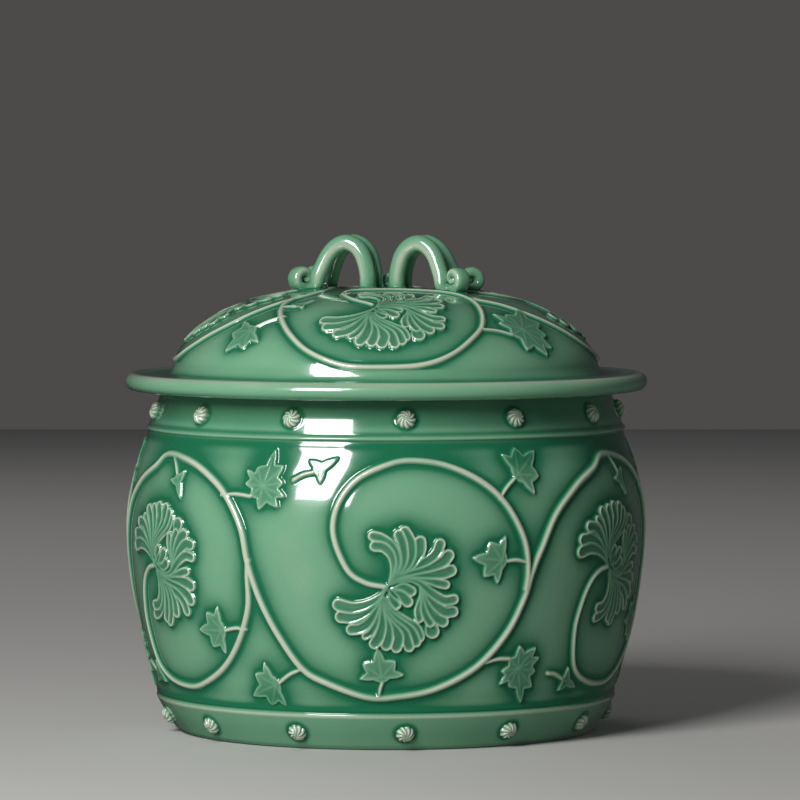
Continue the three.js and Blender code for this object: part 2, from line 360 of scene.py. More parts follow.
# Even points along a section of [radius, height] stops, its corners rounded by the glaze
def sectionLine(stops, spacing, rounding):
    stops = np.array(stops, float)
    lengths = np.linalg.norm(np.diff(stops, axis=0), axis=1)
    along = np.concatenate([[0], np.cumsum(lengths)])
    count = int(along[-1] / 0.1) + 2
    fine = np.linspace(0, along[-1], count)
    line = np.stack([np.interp(fine, along, stops[:, k]) for k in (0, 1)], -1)
    if rounding:
        reach = int(rounding / 0.1 * 3)
        kernel = np.exp(-0.5 * (np.arange(-reach, reach + 1) * 0.1 / rounding) ** 2)
        kernel /= kernel.sum()
        # reflected through its ends, so that they stay where they are
        front = 2 * line[0] - line[reach:0:-1]
        back = 2 * line[-1] - line[-2:-reach - 2:-1]
        long = np.vstack([front, line, back])
        line = np.stack([np.convolve(long[:, k], kernel, "valid") for k in (0, 1)], -1)
    take = np.linspace(0, len(line) - 1, max(2, int(along[-1] / spacing) + 1)).round().astype(int)
    return line[take]


def sectionNormals(line):
    slope = np.gradient(line, axis=0)
    slope /= np.linalg.norm(slope, axis=1)[:, None] + 1e-12
    return np.stack([slope[:, 1], -slope[:, 0]], -1)


# Joins named stretches of a section into one line, with the kind of each point
def joinSections(sections):
    line, kinds = [], []
    for kind, part in sections:
        part = part if not line else part[1:]
        line.extend(part)
        kinds.extend([kind] * len(part))
    return np.array(line), np.array(kinds)


# More or less glaze round each stop of [place, reach, amount]
def gathered(place, stops):
    return sum(amount * np.exp(-((place - at) / reach) ** 2) for at, reach, amount in stops)


# Turns a section with its relief into a closed shell. One that runs from the top outwards has its rows turned
# over, to face out.
def turnShell(name, line, kinds, turn, height, thick, middleThickness, topDown=False):
    normals = sectionNormals(line) * (-1 if topDown else 1)
    radius = line[:, :1] + normals[:, :1] * height
    up = np.maximum(line[:, 1:] + normals[:, 1:] * height, 0)
    points = np.stack([radius * np.sin(turn), -radius * np.cos(turn), up + 0 * turn], -1)
    bareRows = kinds[1:] == "bare"
    middles = [[0, 0, line[end, 1] + height[end].mean()] for end in (0, -1)]
    if topDown:
        points, bareRows, thick, middles = points[::-1], bareRows[::-1], thick[::-1], middles[::-1]
    points = points.reshape(-1, 3)
    count = len(points)
    piece = makeMesh(name, np.vstack([points, middles]), ringFaces(len(line), len(turn), count, count + 1))
    setThickness(piece, np.concatenate([thick.ravel(), middleThickness]))
    slots = np.concatenate([np.repeat(bareRows, len(turn)), np.zeros(2 * len(turn), bool)])
    piece.data.polygons.foreach_set("material_index", slots.astype(np.int32))
    return piece


# The jar's body

jar = {
    "height": 181.9,
    "bellyRadius": 138.4,
    "bellyHeight": 108.0,
    "lowerCurve": 1.65,
    "upperCurve": 2.05,
    "footRadius": 111.8,
    "footBandHeight": 19.0,
    "footBandLean": 11.6,
    "neckBandHeight": 20.0,
    "neckBandLean": 7.5,
    "bandStep": 0.9,
    "mouthRadius": 112.0,
    "rimWidth": 8.5,
    "mouthDepth": 12.0,
    "wall": 6.0,
    "floor": 12.0,            # height of the floor inside
    "hollowRound": 9.0,
    "footRecess": 4.0,
    "footRingWidth": 12.0,
    "groundIn": 0.75,         # open ground lies this far inside the crests' envelope
    "bandBulge": 0.5,
    "groundFade": (3.5, 4),   # mm over which the ground runs out, at the foot and at the shoulder
    "reliefFade": (4.5, 5),   # and the relief
    "plainGlaze": 0.36,
    # glaze gathers under the bead and above the foot band, and thins on the bead and the band's edge, as
    # [mm above the bead or the foot band's top, reach, amount]
    "beadGlaze": [(-2.9, 2.8, 0.45), (-7.9, 7, 0.28), (0.1, 0.8, -0.34), (2.5, 1.3, 0.4)],
    "footGlaze": [(2.8, 2.2, 0.6), (8, 6, 0.2), (-0.6, 1.1, -0.42), (-11, 8, 0.12)],
    # painted shade: the neck band is darkened above the bead, where the lid's flange shades it, as [mm above
    # the bead where it starts, where it is full, amount]
    "neckFlangeShade": (1.1, 8.1, 0.34),
    # and round each stud, as reach and amount, with a fillet
    "studPool": (1.5, 0.5),
    "studFillet": (0.8, 0.32),
    "columns": 1800,          # round the jar
    "rowSpacing": 0.54,
}
footTop = jar["footRadius"] + jar["footBandLean"]
rimRadius = jar["mouthRadius"] + jar["rimWidth"]
beadRadius = rimRadius + jar["neckBandLean"]
beadHeight = jar["height"] - jar["neckBandHeight"]
shoulderHeight = beadHeight - jar["bandStep"]


def wallRadius(height, p=jar):
    below = height < p["bellyHeight"]
    endHeight = np.where(below, p["footBandHeight"], shoulderHeight)
    endRadius = np.where(below, footTop, beadRadius) - p["bandStep"]
    share = (height - p["bellyHeight"]) / (endHeight - p["bellyHeight"])
    power = np.where(below, p["lowerCurve"], p["upperCurve"])
    return p["bellyRadius"] + (endRadius - p["bellyRadius"]) * np.abs(share) ** power


# 1 on the wall, running out over the last few mm above the foot band and below the shoulder
def onWall(height, fade, p=jar):
    low, high = p["footBandHeight"] + 1.5, shoulderHeight - 1
    return smoothStep(low, low + fade[0], height) * (1 - smoothStep(high - fade[1], high, height))


sheetRadius = 134.0       # the wall is drawn unrolled at this radius
perDegree = sheetRadius * math.pi / 180

# The scrolling vine, as [degrees from the front, height], over one of its three rounds of 120 degrees
bodyVine = {
    "wave": [(-60, 151), (-50, 148), (-42, 140), (-36.7, 130), (-32.7, 115), (-31, 97), (-28.5, 79),
            (-24.7, 61), (-19.4, 43.4), (-13.6, 36), (-4.3, 29), (2.7, 29.2), (12, 33.3), (21.4, 44.3),
            (28.1, 61), (31.9, 79), (33.5, 92), (35.7, 104), (40.1, 122), (47.4, 136), (54.8, 144.4),
            (60, 151)],
    "lowTendril": [(32.2, 84), (32.5, 94), (31.3, 110), (27.2, 128), (21.7, 140), (13.9, 148.5), (6, 151.2),
                  (0.4, 149), (-6.2, 141.6), (-10.2, 129), (-11.1, 113.7), (-8.2, 96), (-4.4, 89.2),
                  (0.2, 86.8)],
    "highTendril": [(29, 99), (28.8, 92), (28.2, 73.6), (24.4, 54.8), (18.8, 41), (10.8, 31.7), (4.3, 29.5),
                   (-4, 32.4), (-9.7, 41), (-11.8, 59), (-10.9, 72.8), (-8.7, 84), (-5.6, 90.4),
                   (-2, 92.6)],
    "halfWidth": 1.85,
    "height": 1.75,
    "lowFlower": (0.3, 86.6),
    "highFlower": (-1.8, 92.4),
}
# Leaves: kind, degrees, height, turn, size, and where the stem leaves the vine
lowLeaves = [
    ("maple", -28.0, 137.4, 18, 1.0, (-38.6, 132.0)),
    ("dart", -15.4, 146.0, 28, 1.05, (-20.6, 141.0)),
    ("ivy", 31.0, 143.2, 40, 1.3, (25.6, 131.0)),
    ("ivy", 26.0, 99.6, 172, 1.2, (32.0, 98.0)),
    ("ivy", -0.8, 39.4, 96, 1.16, (-1.5, 29.5)),
]
highLeaves = [
    ("maple", -27.6, 42.4, -18, 1.0, (-36.4, 46.4)),
    ("dart", -12.5, 34.2, -20, 1.05, (-18.6, 38.6)),
    ("ivy", 33.4, 34.4, 205, 1.24, (40.2, 43.0)),
    ("ivy", 20.2, 61.5, 184, 1.22, (27.2, 63.0)),
    ("dart", 6.1, 139.5, -62, 1.02, (2.6, 150.0)),
]


def drawBody(p=bodyVine):
    sheet = newSheet(-66 * perDegree, 66 * perDegree, 17, 163, 0.4)
    wave = np.vstack([np.array(p["wave"][:-1]) - [120, 0], p["wave"][:-1], np.array(p["wave"]) + [120, 0]])
    wave = smoothLine(wave * [perDegree, 1], 1.5)
    wave = wave[np.abs(wave[:, 0]) < 72 * perDegree]
    drawThread(sheet, wave, p["halfWidth"], p["height"])
    lobes = [(0, p["lowTendril"], p["lowFlower"], lowLeaves, 1)]
    for centre in (-60, 60):
        lobes.append((centre, p["highTendril"], p["highFlower"], highLeaves, -1))
    for centre, tendril, flower, leaves, flip in lobes:
        line = smoothLine((np.array(tendril) + [centre, 0]) * [perDegree, 1], 1.5)
        drawThread(sheet, line, p["halfWidth"], p["height"], 0.8)
        for kind, degrees, height, turn, size, stem in leaves:
            stemFrom = ((stem[0] + centre) * perDegree, stem[1])
            drawLeaf(sheet, kind, (degrees + centre) * perDegree, height, turn, size, flip, stemFrom)
        drawFlower(sheet, (flower[0] + centre) * perDegree, flower[1], flip)
    flowGlaze(sheet)
    return sheet


def studPlaces(radius, height, lean):
    # angle from the front, with the place and outward direction of each stud
    places = []
    for index in range(studs["perRing"]):
        angle = math.radians(studs["firstAngle"]) + index * 2 * math.pi / studs["perRing"]
        level = np.array([math.sin(angle), -math.cos(angle), 0])
        places.append((angle, level * radius + [0, 0, height],
                       level * math.cos(lean) + [0, 0, math.sin(lean)]))
    return places


studs = {
    "perRing": 13,
    "firstAngle": 5,        # degrees right of the front
    "diameter": 10.5,
    "height": 3.8,
    "flutes": 9,
    "fluteDepth": 1.15,
    "swirl": 1.0,             # how far a flute turns on its way to the rim, radians
    "sink": 0.35,             # how deep the stud sits in the glaze
    "columns": 88,
    "rings": 18,
}
neckLean = math.atan2(jar["neckBandLean"], jar["neckBandHeight"])
footLean = -math.atan2(jar["footBandLean"], jar["footBandHeight"])
neckPlaces = studPlaces(rimRadius + jar["neckBandLean"] / 2, jar["height"] - jar["neckBandHeight"] / 2,
                        neckLean)
footPlaces = studPlaces(jar["footRadius"] + jar["footBandLean"] / 2, jar["footBandHeight"] / 2, footLean)


def buildBody(p=jar):
    sheet = drawBody()
    print("wall relief drawn")
    turn = evenTurns(p["columns"] // coarser)
    slope = p["footBandLean"] / p["footBandHeight"]
    ringInner, recess = p["footRadius"] - p["footRingWidth"], p["footRecess"]
    under = [(6, recess), (ringInner - 3, recess), (ringInner - 0.8, recess * 0.7), (ringInner, 0)]
    foot = [(ringInner, 0), (p["footRadius"] - 2, 0), (p["footRadius"] - 0.5, 0.5),
            (p["footRadius"] + 2 * slope, 2)]
    band = [(p["footRadius"] + h * slope + p["bandBulge"] * math.sin(math.pi * h / p["footBandHeight"]), h)
            for h in np.linspace(2, 18.2, 12)]
    footStep = [(footTop - 0.1, 18.9), (footTop - 0.5, 19.5), (footTop - 1.15, 20.1)]
    heights = np.linspace(20.8, shoulderHeight - 0.6, 120)
    wall = list(zip(wallRadius(heights) - p["groundIn"] * onWall(heights, p["groundFade"]), heights))
    neck = [(beadRadius - 0.95, shoulderHeight), (beadRadius, beadHeight - 0.5),
            (beadRadius + 0.45, beadHeight + 0.1), (beadRadius + 0.1, beadHeight + 0.9),
            (beadRadius - 0.95, beadHeight + 1.8)]
    neck += [(beadRadius - p["neckBandLean"] * h / p["neckBandHeight"] - 0.35, beadHeight + h)
             for h in np.linspace(2.6, 19.0, 10)]
    neck += [(rimRadius - 0.35, p["height"] - 0.45), (rimRadius - 0.9, p["height"])]
    land = [(rimRadius - 0.9, p["height"]), (p["mouthRadius"] + 0.6, p["height"])]
    mouth = [(p["mouthRadius"] + 0.6, p["height"]), (p["mouthRadius"], p["height"] - 0.7),
             (p["mouthRadius"], p["height"] - p["mouthDepth"])]
    hollowTop = shoulderHeight - p["bandStep"]
    inner = [(wallRadius(h) - p["wall"], h)
             for h in np.linspace(hollowTop, p["footBandHeight"] + p["hollowRound"], 30)]
    start = inner[-1]
    corner = [(start[0] - 0.9, start[1] - 5), (start[0] - 3.3, start[1] - 10.2),
              (start[0] - 7.5, start[1] - 13.9), (start[0] - 13, start[1] - 15.7),
              (start[0] - 17, p["floor"])]
    outside = foot[1:] + band + footStep + wall + neck
    line, kinds = joinSections([
        ("under", sectionLine(under, 2.2, 0.8)),
        ("bare", sectionLine(foot[:2], 1.6, 0)),
        ("outer", sectionLine(outside, p["rowSpacing"] * coarser, 0.3)),
        ("bare", sectionLine(land, 1.4, 0)),
        ("inside", sectionLine(mouth + inner + corner + [(6, p["floor"])], 2.6, 0.8)),
    ])
    degrees = (np.degrees(turn) + 60) % 120 - 60
    x, level = np.meshgrid(degrees * perDegree, line[:, 1])
    outer = (kinds == "outer")[:, None]
    drawn = outer * onWall(level, p["reliefFade"])
    height = readSheet(sheet, "height", x, level) * drawn
    thick = readSheet(sheet, "thickness", x, level) * drawn + p["plainGlaze"] * (1 - drawn)
    # painted shade: a darker glaze colour up the neck band above the bead, where the lid's flange shades it
    low, high, amount = p["neckFlangeShade"]
    more = gathered(level - beadHeight, p["beadGlaze"])
    more = more + gathered(level - p["footBandHeight"], p["footGlaze"])
    thick = thick + outer * (more + amount * smoothStep(beadHeight + low, beadHeight + high, level))
    for angle, base, _ in neckPlaces + footPlaces:
        gap = (turn - angle + math.pi) % (2 * math.pi) - math.pi
        away = np.hypot(gap * np.hypot(base[0], base[1]), (level - base[2]) * 1.12) - studs["diameter"] / 2
        away = np.clip(away, 0, None)
        thick = thick + outer * gathered(away, [(0, *p["studPool"])])
        height = height + outer * gathered(away, [(0, *p["studFillet"])])
    return turnShell("jar_shell", line, kinds, turn, height, thick, [0.4, 0.5])


# The lid

lid = {
    "seat": 182.2,            # height of the flange's underside
    "domeRadius": 113.6,
    "domeStep": 5.0,
    "domeRise": 40.2,
    "domeShoulder": 3.2,
    "domeFall": 2 / 3,
    "flangeRadius": 140.0,
    "flangeThickness": 9.1,
    "flangeDish": 0.8,
    "wall": 6.0,
    "ringOuter": 110.0,       # locating ring below
    "ringInner": 105.0,
    "ringDepth": 12.0,
    "groundIn": 0.6,
    "plainGlaze": 0.36,
    # the groove at the dome's foot pools deep, as [radius, reach, amount]; the flange's crown runs thin
    "grooveGlaze": [(117, 2.4, 0.42), (122, 5, 0.2)],
    "crownGlaze": [(136.5, 2.4, -0.22)],
    "footFillet": 1.5,        # of glaze, round the feet of the handles
    "columns": 1320,
    "rowSpacing": 0.55,
}


def domeHeight(radius, p=lid):
    fall = np.clip(1 - (np.abs(radius) / p["domeRadius"]) ** p["domeShoulder"], 0, 1) ** p["domeFall"]
    return p["seat"] + p["flangeThickness"] + p["domeStep"] + p["domeRise"] * fall


domeRadii = lid["domeRadius"] * np.sin(np.linspace(0, math.pi / 2, 600))
domeArc = np.concatenate([[0], np.cumsum(np.hypot(np.diff(domeRadii), np.diff(domeHeight(domeRadii))))])

# The lid is drawn spread flat from its middle: the front is down, and distances run over the dome
lidVine = {
    # the middle of each lobe, and where its vine leaves the neighbour's, both in degrees
    "lobes": [(-2, -45.6), (95, -52.6), (180, -41), (-92, -43.6)],
    "branchRadius": 66,
    # radius, and degrees from the lobe's middle
    "ring": [(75, -43.5), (87.7, -36.5), (100.5, -27.7), (109.3, -18.9), (112.8, -9.6), (113.2, 0.6),
             (112.8, 11.6), (109.8, 20.6), (100.4, 30.4), (90.6, 36.1), (75.4, 41.8), (60, 45.5), (47, 44),
             (36, 33), (29, 13), (29, -12), (37, -27), (51, -24), (64, -13.5), (73, -3.5)],
    "halfWidth": 1.65,
    "height": 1.6,
    "flower": (78.6, -2.4),
    "flowerSize": 1.04,
}
# kind, radius, degrees, turn, size, and where its stem starts
lidLeaves = [
    ("ivy", 99, -45.0, 193, 1.34, (88.3, -36.6)),
    ("dart", 76, -37, 30, 0.85, (78.5, -42.8)),
    ("maple", 99, 46.4, 40, 1.36, (98.0, 31.0)),
    ("maple", 101, 136, 130, 0.82, (98.5, 125.5)),
    ("ivy", 101, 224, 222, 1.15, (98, 211.0)),
]


def spread(radius, degrees):
    reach = np.interp(radius, domeRadii, domeArc)
    return np.array([reach * math.sin(math.radians(degrees)), -reach * math.cos(math.radians(degrees))])


def drawLid(p=lidVine):
    sheet = newSheet(-136, 136, -136, 136, 0.42)
    for middle, branch in p["lobes"]:
        ring = [(p["branchRadius"], branch)] + p["ring"]
        line = smoothLine([spread(r, a + middle) for r, a in ring], 1.5)
        drawThread(sheet, line, p["halfWidth"], p["height"], 0.85)
    for kind, radius, degrees, turn, size, stem in lidLeaves:
        place = spread(radius, degrees)
        drawLeaf(sheet, kind, place[0], place[1], turn, size, 1, spread(*stem))
    for middle, _ in p["lobes"]:
        root = spread(p["flower"][0], p["flower"][1] + middle)
        drawFlower(sheet, root[0], root[1], 1, math.radians(middle), p["flowerSize"])
    flowGlaze(sheet)
    return sheet


handles = {
    "turn": -23.5,            # degrees, seen from above
    "strand": 9.0,
    "inner": 8.5,             # where a strand rises, from the lid's middle
    "outer": 36.0,            # and where it comes down
    "rise": 24.0,
    "offset": 4.65,           # half the distance between the two strands of a pair
    "splay": 4.9,
    "voluteAt": 45.4,
    "voluteRadius": 6.7,
    "rollTurn": {"left_front": 60, "left_back": 28, "right_front": 28, "right_back": 46},
    "curlAt": (-3.0, 13.85),
    "curlRadius": 4.2,
    "curlWidth": 7.0,
    "around": 28,
}
# Middle of a strand: share along the arch, share of its rise, share of the splay, half its thickness
strandStops = [
    (0.0, -0.16, 0.0, 4.5), (0.0, 0.08, 0.0, 4.5), (0.015, 0.37, 0.0, 4.5), (0.115, 0.73, 0.0, 4.5),
    (0.27, 0.93, 0.02, 4.5), (0.47, 1.0, 0.056, 4.5), (0.665, 0.91, 0.16, 4.5), (0.815, 0.72, 0.33, 4.45),
    (0.925, 0.46, 0.58, 4.4), (0.995, 0.25, 0.8, 4.3),
]
# The rolled end, from the volute's middle: along, up, half its thickness, half its width, and how much of its
# sideways turn it has taken
voluteStops = [
    (-8.6, -3.0, 3.7, 4.3, 0.1), (-5.6, -4.6, 3.2, 4.4, 0.45), (-2.6, -4.7, 3.0, 4.5, 0.85),
    (0.4, -4.3, 2.85, 4.6, 1), (3.2, -2.8, 2.85, 4.6, 1), (4.35, 0.0, 2.9, 4.6, 1), (3.3, 2.9, 2.85, 4.5, 1),
    (0.5, 4.3, 2.8, 4.3, 1), (-2.2, 3.7, 2.6, 4.0, 1), (-3.5, 1.6, 2.3, 3.6, 1), (-2.5, -0.1, 2.1, 3.2, 1),
    (-1.3, 0.3, 1.8, 2.6, 1),
]


def turnPlace(x, y, p=handles):
    angle = math.radians(p["turn"])
    return x * math.cos(angle) - y * math.sin(angle), x * math.sin(angle) + y * math.cos(angle)


# Where handle feet stand on the dome: two ends of each footprint and its half width
def footprints(p=handles):
    prints = []
    for sideX in (-1, 1):
        for sideY in (-1, 1):
            near = turnPlace(sideX * p["inner"], sideY * p["offset"])
            prints.append((near, near, p["strand"] / 2))
            y = sideY * (p["offset"] + p["splay"])
            heel, toe = sideX * (p["outer"] + 1.5), sideX * (p["voluteAt"] + 0.5)
            prints.append((turnPlace(heel, y), turnPlace(toe, y), 3.6))
    x, y = p["curlAt"]
    prints.append((turnPlace(x, y), turnPlace(x + 3, y), 3.0))
    return prints


def buildLid(p=lid):
    sheet = drawLid()
    print("lid relief drawn")
    turn = evenTurns(p["columns"] // coarser)
    seat, top = p["seat"], p["seat"] + p["flangeThickness"]
    ringOuter, ringInner, ringEnd = p["ringOuter"], p["ringInner"], seat - p["ringDepth"]
    dome = [(r, domeHeight(r) - p["groundIn"] * (1 - smoothStep(106, 112, r))) for r in domeRadii if r > 1.5]
    edge = p["flangeThickness"] / 2
    centre = p["flangeRadius"] - edge
    angles = np.radians(np.linspace(90, -90, 30))
    rim = [(centre + edge * math.cos(a), seat + edge + edge * math.sin(a)) for a in angles]
    flange = [(114.0, top + 3.4), (115.0, top + 1.2), (117.0, top - 0.45), (119.5, top - 0.85),
              (126.8, top - 0.75), (130.5, top - 0.4), (133.0, top - 0.02), (134.6, top)]
    seatIn = rimRadius + 1.5
    hollow = [(ringInner + 0.9, ringEnd), (ringInner, seat - 10.6)]
    for share in np.linspace(1, 0.02, 60):
        r = ringInner * math.sin(share * math.pi / 2)
        hollow.append((r, domeHeight(r * p["domeRadius"] / ringInner) - p["wall"]))
    line, kinds = joinSections([
        ("outer", sectionLine(dome[:-3] + flange + rim + [(seatIn, seat)], p["rowSpacing"] * coarser, 0.5)),
        ("bare", sectionLine([(seatIn, seat), (ringOuter + 0.4, seat)], 1.6, 0)),
        ("inside", sectionLine([(ringOuter + 0.4, seat), (ringOuter, seat - 1), (ringOuter, seat - 10.6),
                                (ringOuter - 0.9, ringEnd)], 1.6, 0.2)),
        ("bare", sectionLine([(ringOuter - 0.9, ringEnd), (ringInner + 0.9, ringEnd)], 1.0, 0)),
        ("inside", sectionLine(hollow, 2.4, 0.8)),
    ])
    radius, up = line[:, :1], line[:, 1:]
    outer = (kinds == "outer")[:, None]
    reach = np.interp(radius, domeRadii, domeArc)
    onDome = (outer & (up > top + 2.5)) * (1 - smoothStep(domeArc[-1] - 1.8, domeArc[-1] - 0.1, reach))
    x, y = reach * np.sin(turn), -reach * np.cos(turn)
    height = readSheet(sheet, "height", x, y) * onDome
    thick = readSheet(sheet, "thickness", x, y) * onDome + p["plainGlaze"] * (1 - onDome)
    central = (radius[:, 0] < 62) & outer[:, 0]
    x, y = radius[central] * np.sin(turn), -radius[central] * np.cos(turn)
    for near, far, half in footprints():
        away, _ = nearestOn(np.array([near, far]) + [[0, 0], [1e-6, 0]], x, y)
        away = np.clip(away - half, 0, None)
        fillet = p["footFillet"] * np.exp(-(away / 1.25) ** 1.4)
        height[central] = np.maximum(height[central], 0) + fillet
        thick[central] = thick[central] + gathered(away, [(1.2, 2.0, 0.5)])
    onEdge = smoothStep(129, 136, radius) * (0.3 * (1 - smoothStep(seat + 0.5, seat + 4, up)) - 0.06)
    onCrown = (up > seat + 5.5) * gathered(radius, p["crownGlaze"])
    thick = thick + outer * (gathered(radius, p["grooveGlaze"]) + onCrown + onEdge)
    return turnShell("lid_shell", line, kinds, turn, height, thick, [0.5, 0.4], True)


# A strand swept along its middle line: half its thickness in the plane of the arch, half its width across it
def sweep(middle, thickness, width, across, around):
    tangent = np.gradient(middle, axis=0)
    tangent /= np.linalg.norm(tangent, axis=1)[:, None]
    side = across - tangent * (tangent * across).sum(1)[:, None]
    side /= np.linalg.norm(side, axis=1)[:, None]
    up = np.cross(side, tangent)
    angle = evenTurns(around)
    flat = np.clip(width / thickness - 1, 0, 0.6)[:, None]
    power = 1 / (1 + 0.5 * flat)   # a strap's section is squarer than a round strand's
    rise = np.sign(np.cos(angle)) * np.abs(np.cos(angle)) ** power
    reach = np.sign(np.sin(angle)) * np.abs(np.sin(angle)) ** power
    rings = (middle[:, None] + up[:, None] * (thickness[:, None] * rise)[..., None]
             + side[:, None] * (width[:, None] * reach)[..., None])
    points = rings.reshape(-1, 3)
    count = len(points)
    points = np.vstack([points, middle[:1], middle[-1:]])
    return points, ringFaces(len(middle), around, count, count + 1), angle


# A blunt round end past the last ring
def roundEnd(middle, thickness, width, across, count=6):
    ahead = middle[-1] - middle[-2]
    ahead /= np.linalg.norm(ahead)
    bend = np.linspace(0, math.pi / 2, count + 1)[1:]
    steps, falls = np.sin(bend), np.maximum(np.cos(bend), 0.04)
    more = middle[-1] + ahead * thickness[-1] * steps[:, None]
    return (np.vstack([middle, more]), np.concatenate([thickness, thickness[-1] * falls]),
            np.concatenate([width, width[-1] * falls]), np.vstack([across, np.repeat(across[-1:], count, 0)]))


# Sweeps a strand through stops of [x, y, z, half thickness, half width, sideways turn], and says how high
# each point is above the dome
def sweepStops(stops, spacing, around):
    line = smoothLine(stops, spacing)
    across = np.stack([-np.sin(line[:, 5]), np.cos(line[:, 5]), 0 * line[:, 5]], -1)
    middle, thickness, width, across = roundEnd(line[:, :3], line[:, 3], line[:, 4], across)
    points, faces, angle = sweep(middle, thickness, width, across, around)
    above = np.clip(points[:, 2] - domeHeight(np.hypot(points[:, 0], points[:, 1])), 0, None)
    return points, faces, np.tile(angle, len(middle)), above


def buildStrand(name, sideX, sideY, rollTurn, p=handles):
    stops = []
    apex = float(domeHeight(0))
    for along, up, apart, half in strandStops:
        stops.append((p["inner"] + (p["outer"] - p["inner"]) * along, p["offset"] + p["splay"] * apart,
                      apex + p["rise"] * up, half, half, 0))
    voluteY = p["offset"] + p["splay"]
    voluteZ = float(domeHeight(math.hypot(p["voluteAt"], voluteY))) + p["voluteRadius"] - 0.8
    for along, up, half, width, turned in voluteStops:
        turn = math.radians(rollTurn) * turned
        stops.append((p["voluteAt"] + along * math.cos(turn), voluteY + along * math.sin(turn),
                      voluteZ + up, half, width, turn))
    points, faces, angle, above = sweepStops(stops, 0.6, p["around"])
    inPair = np.clip(1 - np.abs(np.abs(points[:, 1]) - 0.2) / 2.2, 0, 1)
    # the outer side of each strand is paler: the glaze lies thin there, and the band is also a painted
    # highlight along the strand
    outerThinAndHighlight = np.append(np.clip(np.sin(angle + 0.35), 0, 1), [0, 0])
    thick = 0.45 - 0.36 * outerThinAndHighlight ** 5 + 0.45 * np.exp(-above / 2.2) + 0.35 * inPair
    points = points * [sideX, sideY, 1]
    if sideX * sideY < 0:
        faces = [f[:, ::-1] for f in faces]
    points[:, 0], points[:, 1] = turnPlace(points[:, 0], points[:, 1])
    piece = makeMesh(name, points, faces)
    setThickness(piece, np.clip(thick, 0, 1))
    return piece


def buildCurl(name, p=handles):
    x, y = p["curlAt"]
    ground = float(domeHeight(math.hypot(x, y)))
    size = p["curlRadius"] / p["voluteRadius"]
    stops = [(x + 6.6, y, ground - 1.6, 1.7, 2.3, 0)]
    for along, up, half, width, _ in voluteStops[1:]:
        stops.append((x - along * size, y, ground + p["curlRadius"] - 0.6 + up * size, half * size,
                      width * p["curlWidth"] / 8.8, 0))
    points, faces, _, above = sweepStops(stops, 0.5, p["around"])
    faces = [f[:, ::-1] for f in faces]
    points[:, 0], points[:, 1] = turnPlace(points[:, 0], points[:, 1])
    piece = makeMesh(name, points, faces)
    setThickness(piece, 0.32 + 0.4 * np.exp(-above / 2.0))
    return piece


# A domed stud with swirling flutes
def buildStud(name, base, outerThinAndHighlight, spin, p=studs):
    around = evenTurns(p["columns"])
    share = np.sin(np.linspace(1, 0.04, p["rings"]) * math.pi / 2)
    radius = share * p["diameter"] / 2
    rise = p["height"] * (1 - share ** 2.3) ** 0.62
    rise[0] = 0
    phase = p["flutes"] * (around[None, :] + spin + p["swirl"] * (1 - share[:, None]))
    flute = np.abs(np.cos(phase / 2)) ** 0.7 - 0.55
    reach = smoothStep(0.05, 0.5, share) * (1 - 0.55 * smoothStep(0.9, 1.0, share))
    raised = p["fluteDepth"] * flute * reach[:, None]
    spreadOut = radius[:, None] * 0.94 + 0.75 * raised * share[:, None]
    top = rise[:, None] + raised * (1 - 0.45 * share[:, None])
    top[0] = -0.3
    normal = outerThinAndHighlight / np.linalg.norm(outerThinAndHighlight)
    east = np.cross([0, 0, 1.0], normal)
    east /= np.linalg.norm(east)
    north = np.cross(normal, east)
    points = (base - normal * p["sink"] + spreadOut[..., None] * (np.cos(around)[None, :, None] * east
              + np.sin(around)[None, :, None] * north) + top[..., None] * normal).reshape(-1, 3)
    count = len(points)
    points = np.vstack([points, [base - normal * (p["sink"] + 0.3)],
                        [base + normal * (p["height"] - p["sink"])]])
    piece = makeMesh(name, points, ringFaces(p["rings"], p["columns"], count, count + 1))
    thick = 0.3 - 0.7 * flute * reach[:, None] + 0.45 * smoothStep(0.78, 1, share)[:, None]
    setThickness(piece, np.concatenate([thick.ravel(), [0.7, 0.1]]))
    return piece


# Materials

# Sets inputs by name or number: a socket is linked, anything else is a value
def setInputs(tree, node, inputs):
    for name, value in inputs.items():
        if isinstance(value, bpy.types.NodeSocket):
            tree.links.new(value, node.inputs[name])
        else:
            node.inputs[name].default_value = value


# A new node with its settings and inputs; gives the named or numbered output
def addNode(tree, kind, output, inputs=None, **settings):
    node = tree.nodes.new(kind)
    for name, value in settings.items():
        setattr(node, name, value)
    setInputs(tree, node, inputs or {})
    return node.outputs[output]


def addNoise(tree, scale, detail=2):
    place = addNode(tree, "ShaderNodeTexCoord", "Object")
    return addNode(tree, "ShaderNodeTexNoise", "Fac", {"Vector": place, "Scale": scale, "Detail": detail})


# A node group with its sockets: an input is given by its usual value, an output by its kind
def startGroup(name, inputs, outputs):
    group = bpy.data.node_groups.new(name, "ShaderNodeTree")
    for title, value in inputs.items():
        kind = "NodeSocketColor" if isinstance(value, tuple) else "NodeSocketFloat"
        socket = group.interface.new_socket(name=title, in_out="INPUT", socket_type=kind)
        socket.default_value = value
    for title, kind in outputs.items():
        group.interface.new_socket(name=title, in_out="OUTPUT", socket_type=kind)
    return group, group.nodes.new("NodeGroupInput").outputs, group.nodes.new("NodeGroupOutput")


kiln = {
    "driftScale": 26,     # slow drifts of tone
    "speckScale": 620,    # and fine specks
    "speckShare": 0.35,
    "middle": 0.675,      # what the two come to on average
    # thickness from and to, and what it gives there
    "thinToBody": (-0.05, 0.33, 0, 1),
    "bodyToPool": (0.3, 0.98, 0, 1),
    "roughness": (0.0, 0.9, 0.24, 0.13),
}


